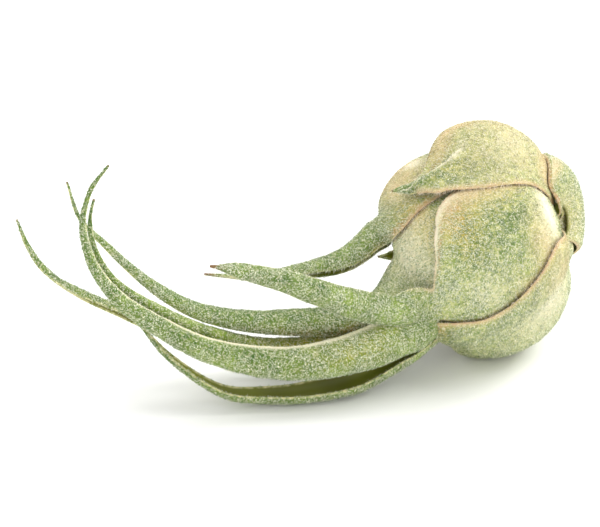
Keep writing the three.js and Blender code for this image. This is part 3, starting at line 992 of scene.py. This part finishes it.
@dataclass
class Fringe:
    """Short hairs that stand out along both margins of a leaf.

    Attributes:
        leaf: the leaf they grow on.
        spacing: usual distance between hairs.
        length: shortest and longest hair.
        width: width of a hair at its root.
        sink: least and most distance of a root under the outer side.
        inward: how far a root sits in from the margin.
        lean: least and most lean towards the tip.
        stray: usual stray of a hair's way, and of its flat side.
        bare_tip: length of the tip without hairs.
        seed: start of the random draws, to which the leaf's name adds.
    """

    leaf: LeafMesh
    spacing: float = 0.13
    length: tuple[float, float] = (0.35, 0.95)
    width: float = 0.11
    sink: tuple[float, float] = (0.05, 0.4)
    inward: float = 0.08
    lean: tuple[float, float] = (0.1, 1.0)
    stray: tuple[float, float] = (0.35, 0.5)
    bare_tip: float = 0.6
    seed: int = 23

    def _margin(self, rng: np.random.Generator, column: int, inner: int) -> tuple[Array, ...]:
        """Hairs of one margin.

        Args:
            rng: source of the random draws.
            column: the margin's column of the outer grid.
            inner: a column a little further in.

        Returns:
            Roots, half widths, points and how pink each hair is.
        """
        leaf = self.leaf
        edge = leaf.outer[:, column]
        away = unit(edge - leaf.outer[:, inner])
        along = unit(np.gradient(leaf.outer, axis=0))[:, column]
        normal = leaf.normals()[:, column]
        run = np.concatenate([[0], np.cumsum(np.linalg.norm(np.diff(edge, axis=0), axis=1))])
        count = int(run[-1] / self.spacing)
        spot = np.sort(rng.random(count)) * run[-1]
        row = np.interp(spot, run, np.arange(len(run)))
        row = row[leaf.cover[np.round(row).astype(int), column] < 0.5]
        i = np.minimum(row.astype(int), len(run) - 2)
        f = (row - i)[:, None]

        def pick(values: Array) -> Array:
            """Blends neighbouring rows of the margin."""
            return values[i] * (1 - f) + values[i + 1] * f

        total = len(row)
        root = pick(edge) - pick(normal) * rng.uniform(*self.sink, (total, 1))
        way = unit(pick(away) + pick(along) * rng.uniform(*self.lean, (total, 1))
                   + rng.normal(0, self.stray[0], (total, 3)))
        wide = unit(np.cross(way, pick(normal) + rng.normal(0, self.stray[1], (total, 3))))
        reach = rng.uniform(*self.length, (total, 1)) * leaf.plan.hair
        root = root - pick(away) * self.inward
        kept = leaf.surface.length_left(leaf.at)[i] > self.bare_tip
        pink = leaf.surface.drape(leaf.at)[i]
        return tuple(part[kept] for part in (root, wide * self.width / 2, way * reach, pink))

    def build(self) -> bpy.types.Object:
        """Makes one mesh of the margin hairs: root on the margin, point outwards."""
        rng = np.random.default_rng(self.seed + sum(map(ord, self.leaf.plan.name)))
        sides = [self._margin(rng, -1, -3), self._margin(rng, 0, 2)]
        root, side, point, pink = (np.concatenate(parts) for parts in zip(*sides))
        name = self.leaf.plan.name.replace("leaf_", "fringe_")
        piece = loose_faces(name, root, side, point)
        tone = rng.random((len(root), 1)) ** 0.4
        corners = np.ones((1, 3))
        paint(piece, "scale", tone * corners, 0.0, pink, 1.0)
        return piece


# ------------------------------------------------------------------ materials
class Sketch:
    """Small helper that adds and joins shader nodes of one material."""

    def __init__(self, name: str) -> None:
        """Starts an empty node material."""
        self.material = bpy.data.materials.new(name)
        self.material.use_nodes = True
        self.tree = self.material.node_tree
        self.tree.nodes.clear()

    def add(self, kind: str, inputs: dict[object, object], **values: object) -> bpy.types.Node:
        """Adds a node.

        Args:
            kind: Blender's name for the kind of node.
            inputs: a number, a colour or another node's output for each input.
            values: plain properties.

        Returns:
            The node.
        """
        node = self.tree.nodes.new(kind)
        for key, value in values.items():
            setattr(node, key, value)
        for key, value in inputs.items():
            socket = node.inputs[key]
            if isinstance(value, bpy.types.NodeSocket):
                self.tree.links.new(value, socket)
            elif socket.type == "RGBA":
                socket.default_value = (*value, 1.0)
            else:
                socket.default_value = value
        return node

    def masks(self, attribute: str) -> list[bpy.types.NodeSocket]:
        """The four numbers of a colour attribute."""
        source = self.add("ShaderNodeAttribute", {}, attribute_name=attribute)
        split = self.add("ShaderNodeSeparateColor", {0: source.outputs["Color"]})
        return [*split.outputs[:3], source.outputs["Alpha"]]

    def noise(self, scale: float, detail: float, stretch: Triple = (1.0, 1.0, 1.0)) -> object:
        """Noise on Object coordinates; scale counts blobs a metre."""
        place = self.add("ShaderNodeTexCoord", {}).outputs["Object"]
        place = self.add("ShaderNodeMapping", {"Vector": place, "Scale": stretch}).outputs[0]
        inputs = {"Vector": place, "Scale": scale, "Detail": detail}
        return self.add("ShaderNodeTexNoise", inputs).outputs[0]

    def sharpen(self, value: object, low: float, high: float) -> object:
        """Spreads low..high of a number over 0..1."""
        inputs = {"Value": value, "From Min": low, "From Max": high}
        return self.add("ShaderNodeMapRange", inputs).outputs[0]

    def maths(self, kind: str, a: object, b: object) -> object:
        """Arithmetic on two numbers, held to 0..1."""
        return self.add("ShaderNodeMath", {0: a, 1: b}, operation=kind, use_clamp=True).outputs[0]

    def times(self, a: object, b: object) -> object:
        """Product of two numbers."""
        return self.maths("MULTIPLY", a, b)

    def mix(self, share: object, a: object, b: object) -> object:
        """Mixes two colours."""
        return self.add("ShaderNodeMix", {0: share, 6: a, 7: b}, data_type="RGBA").outputs[2]

    def principled(self, colour: object, roughness: object, **inputs: object) -> bpy.types.Node:
        """Adds the main shader; an input's name is written with _ for each space."""
        more = {key.replace("_", " "): value for key, value in inputs.items()}
        return self.add("ShaderNodeBsdfPrincipled",
                        {"Base Color": colour, "Roughness": roughness, **more})

    def bump(self, height: object, distance: float, strength: float = 1.0) -> object:
        """Fine unevenness; distance is metres."""
        inputs = {"Strength": strength, "Distance": distance, "Height": height}
        return self.add("ShaderNodeBump", inputs).outputs[0]

    def finish(self, shader: bpy.types.Node) -> bpy.types.Material:
        """Joins the last shader to the output and hands over the material."""
        self.add("ShaderNodeOutputMaterial", {"Surface": shader.outputs[0]})
        return self.material


@dataclass(frozen=True)
class LeafFinish:
    """Felted green outside, smooth olive inside, tan flush, creamy patches with painted
    highlights, and painted red-brown shade under overlapping margins.
    """

    name: str
    pale: Triple = (0.50, 0.52, 0.19)
    green: Triple = (0.17, 0.27, 0.035)
    deep: Triple = (0.035, 0.10, 0.012)
    blade: Triple = (0.10, 0.17, 0.02)
    lively: Triple = (0.20, 0.30, 0.03)
    yellow: Triple = (0.48, 0.38, 0.035)
    tan: Triple = (0.66, 0.50, 0.24)
    cream: Triple = (0.88, 0.80, 0.60)
    rust: Triple = (0.42, 0.17, 0.035)
    brown: Triple = (0.30, 0.13, 0.045)
    olive: Triple = (0.13, 0.14, 0.006)
    lime: Triple = (0.24, 0.27, 0.015)
    dried: Triple = (0.20, 0.095, 0.035)
    margin: Triple = (0.78, 0.72, 0.38)
    pink: Triple = (0.52, 0.34, 0.20)
    rough_outside: float = 0.8
    rough_inside: float = 0.45

    def build(self) -> bpy.types.Material:
        """Makes the material: each layer of colour is mixed over the ones before."""
        s = Sketch(self.name)
        flush, crease_shade, inside, dry = s.masks("masks")
        depth, yellow, margin, rust = s.masks("places")
        cream, free = s.masks("tones")[:2]
        cloud, mottle, grain = s.noise(170.0, 3.0), s.noise(750.0, 2.0), s.noise(2200.0, 1.0)
        paler = s.maths("SUBTRACT", s.sharpen(cloud, 0.35, 0.75), s.maths("MAXIMUM", depth, free))
        leafy = s.mix(s.sharpen(cloud, 0.35, 0.65), self.blade, self.lively)
        # painted shade: the blurred cover, sharpened and weakened
        covered_shade = s.times(s.sharpen(crease_shade, 0.2, 1.0), 0.75)
        within = s.sharpen(inside, 0.55, 0.95)
        inner = s.mix(s.sharpen(s.noise(60.0, 1.0), 0.3, 0.7), self.olive, self.lime)
        body = s.mix(s.sharpen(mottle, 0.35, 0.65), self.green, self.pale)
        for share, colour in (
            (s.times(paler, 0.6), self.pale),
            (s.times(free, 0.9), leafy),
            (s.times(depth, s.sharpen(mottle, 0.75, 0.35)), self.deep),
            (s.times(yellow, s.sharpen(mottle, 0.2, 0.6)), self.yellow),
            (s.times(flush, s.sharpen(cloud, 0.1, 0.55)), self.tan),
            # rust colour, and the painted shadow strip beside the crown's ridge
            (s.times(rust, s.sharpen(mottle, 0.25, 0.6)), self.rust),
            # cream colour, with painted highlights on lit rims and along the ridge
            (cream, self.cream),
            (s.times(s.sharpen(grain, 0.5, 0.62), 0.4), self.cream),
            # painted red-brown shade under overlapping margins, less on free blades
            (s.maths("SUBTRACT", covered_shade, s.times(free, 0.6)), self.brown),
            (within, inner),
            (s.times(margin, s.sharpen(mottle, 0.35, 0.7)), s.mix(free, self.pink, self.margin)),
            (dry, self.dried),
        ):
            body = s.mix(share, body, colour)
        rough = s.add("ShaderNodeMapRange", {"Value": inside, "To Min": self.rough_outside,
                                             "To Max": self.rough_inside}).outputs[0]
        uneven = s.bump(s.mix(within, grain, (0.5, 0.5, 0.5)), 0.00018, 0.5)
        return s.finish(s.principled(
            body, rough, Subsurface_Weight=0.08, Subsurface_Radius=(0.6, 1.0, 0.3),
            Subsurface_Scale=0.0012, Sheen_Weight=0.15, Normal=uneven))


@dataclass(frozen=True)
class FeltFinish:
    """Silvery scales: near white, warmer where the leaf is flushed."""

    name: str
    white: Triple = (0.94, 0.94, 0.76)
    even: Triple = (0.42, 0.45, 0.32)
    green: Triple = (0.10, 0.21, 0.03)
    warm: Triple = (0.95, 0.76, 0.46)
    pink: Triple = (0.90, 0.68, 0.55)
    light_through: float = 0.2

    def build(self) -> bpy.types.Material:
        """Makes the material: a rough face that lets a little light through."""
        s = Sketch(self.name)
        tone, warm, pink, grain = s.masks("scale")
        low = s.mix(grain, self.even, self.green)
        colour = s.mix(s.sharpen(tone, 0.3, 0.6), low, self.white)
        colour = s.mix(s.times(warm, 0.6), colour, self.warm)
        colour = s.mix(s.times(pink, 0.5), colour, self.pink)
        face = s.principled(colour, 0.55).outputs[0]
        glow = s.add("ShaderNodeBsdfTranslucent", {"Color": colour}).outputs[0]
        return s.finish(s.add("ShaderNodeMixShader", {0: self.light_through, 1: face, 2: glow}))


@dataclass(frozen=True)
class ShadedStemFinish:
    """Dry brown wood with streaks along the stem, painted near black as the shade in the deep
    dimple.
    """

    name: str = "dry_stem_painted_shade"
    # both colours near black: painted shade of the dimple over the brown wood
    dark: Triple = (0.03, 0.016, 0.008)
    light: Triple = (0.13, 0.08, 0.04)

    def build(self) -> bpy.types.Material:
        """Makes the material."""
        s = Sketch(self.name)
        streak = s.noise(900.0, 3.0, (0.25, 1.0, 1.0))
        colour = s.mix(s.sharpen(streak, 0.35, 0.65), self.dark, self.light)
        return s.finish(s.principled(colour, 0.9, Normal=s.bump(streak, 0.0003)))


@dataclass(frozen=True)
class FloorFinish:
    """Plain white floor."""

    name: str = "white_floor"
    colour: Triple = (0.93, 0.93, 0.92)

    def build(self) -> bpy.types.Material:
        """Makes the material."""
        s = Sketch(self.name)
        return s.finish(s.principled(self.colour, 0.9, Specular_IOR_Level=0.0))


# ------------------------------------------------------------------ assemblies
@dataclass
class Foliage:
    """All the leaves with their felt and fringes."""

    bulb: Bulb = field(default_factory=Bulb)
    plans: tuple[LeafPlan, ...] = LEAF_PLANS

    def build(self) -> None:
        """Builds, covers and dresses every leaf."""
        leaves = [LeafMesh(LeafSurface(plan, self.bulb)) for plan in self.plans]
        for leaf in leaves:
            leaf.find_cover(self._others(leaf, leaves))
        leaf_finish = LeafFinish("felted_leaf").build()
        felt_finish = FeltFinish("silver_felt").build()
        for leaf in leaves:
            piece = leaf.build()
            piece.data.materials.append(leaf_finish)
            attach(piece, "root")
            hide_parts(leaf.plan.name)
            leaf.plan.slot
            LOG.info("%s: %d faces", piece.name, len(piece.data.polygons))
            for part in (Felt(leaf).build(), Fringe(leaf).build()):
                part.data.materials.append(felt_finish)
                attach(part, "root")
                leaf.plan.slot
                LOG.info("%s: %d faces", part.name, len(part.data.polygons))

    def _others(self, leaf: LeafMesh, leaves: list[LeafMesh]) -> BVHTree:
        """The outer sides of every leaf but one, as a tree to cast rays at."""
        points, faces, first = [], [], 0
        for other in leaves:
            if other is not leaf:
                grid, quads = other.coarse()
                points.append(grid)
                faces.append(quads + first)
                first += len(grid)
        return BVHTree.FromPolygons(np.concatenate(points).tolist(),
                                    np.concatenate(faces).tolist())


@dataclass
class Stem:
    """The short dry core in the dimple, kept from the solids with a wood finish painted near black
    as the dimple's shade.
    """

    node: str = "stem"

    def build(self, nodes: dict[str, bpy.types.Object]) -> None:
        """Gives the stem its finish."""
        piece = nodes[self.node]
        piece.data.materials.clear()
        piece.data.materials.append(ShadedStemFinish().build())
        LOG.info("%s: dressed", piece.name)


@dataclass(frozen=True)
class Sun:
    """A wide, soft far light: where it shines from, its spread in degrees, its power."""

    name: str
    place: Triple
    spread: float
    power: float

    def build(self) -> None:
        """Adds the light."""
        data = bpy.data.lights.new(self.name, "SUN")
        data.angle = math.radians(self.spread)
        data.energy = self.power
        lamp = bpy.data.objects.new(self.name, data)
        bpy.context.scene.collection.objects.link(lamp)
        lamp.location = self.place
        lamp.rotation_euler = (-Vector(self.place)).to_track_quat("-Z", "Y").to_euler()


@dataclass
class Studio:
    """White floor, soft light and the camera.

    Attributes:
        target: point the camera looks at.
        elevation: height of the camera over the horizon, degrees.
        distance: from the target to the camera.
        lens: focal length for a film 36 mm wide.
        floor_half: half side of the floor.
        surround: strength of the white surround.
        suns: a key from behind and above, and a weaker one from the far right.
    """

    target: Triple = (-0.0496, 0.0022, 0.0231)
    elevation: float = 28.0
    distance: float = 0.4167
    lens: float = 100.0
    floor_half: float = 3.0
    surround: float = 1.1
    suns: tuple[Sun, ...] = (
        Sun("key", (0.45, 0.05, 0.75), 40.0, 1.55),
        Sun("rim", (0.6, 0.5, 0.4), 20.0, 0.8),
    )

    def build(self) -> None:
        """Builds the floor, the lights and the camera."""
        self._floor()
        self._world()
        for sun in self.suns:
            sun.build()
        self._camera()
        bpy.context.scene.view_settings.view_transform = "Standard"

    def _floor(self) -> None:
        """One large flat face just under the plant."""
        h = self.floor_half
        corners = np.array([[-h, -h, 0], [h, -h, 0], [h, h, 0], [-h, h, 0]], float)
        floor = new_mesh("floor", corners, [np.array([[0, 1, 2, 3]])], False)
        floor.data.materials.append(FloorFinish().build())

    def _world(self) -> None:
        """White surround."""
        world = bpy.data.worlds.new("white_surround")
        world.use_nodes = True
        background = world.node_tree.nodes["Background"]
        background.inputs[0].default_value = (1.0, 1.0, 1.0, 1.0)
        background.inputs[1].default_value = self.surround
        bpy.context.scene.world = world

    def _camera(self) -> None:
        """Camera on a circle round the target at the set elevation."""
        data = bpy.data.cameras.new("camera")
        data.lens = self.lens
        data.sensor_width = 36.0
        camera = bpy.data.objects.new("camera", data)
        bpy.context.scene.collection.objects.link(camera)
        e = math.radians(self.elevation)
        back = Vector((0.0, -math.cos(e), math.sin(e)))
        camera.location = Vector(self.target) + back * self.distance
        camera.rotation_euler = Euler((math.pi / 2 - e, 0.0, 0.0))
        bpy.context.scene.camera = camera


def main() -> None:
    """Builds the plant and its studio."""
    logging.basicConfig(level=logging.INFO, format="%(name)s %(message)s")
    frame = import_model()
    Studio().build()
    Foliage().build()
    Stem().build(frame["nodes"])


if __name__ == "__main__":
    main()
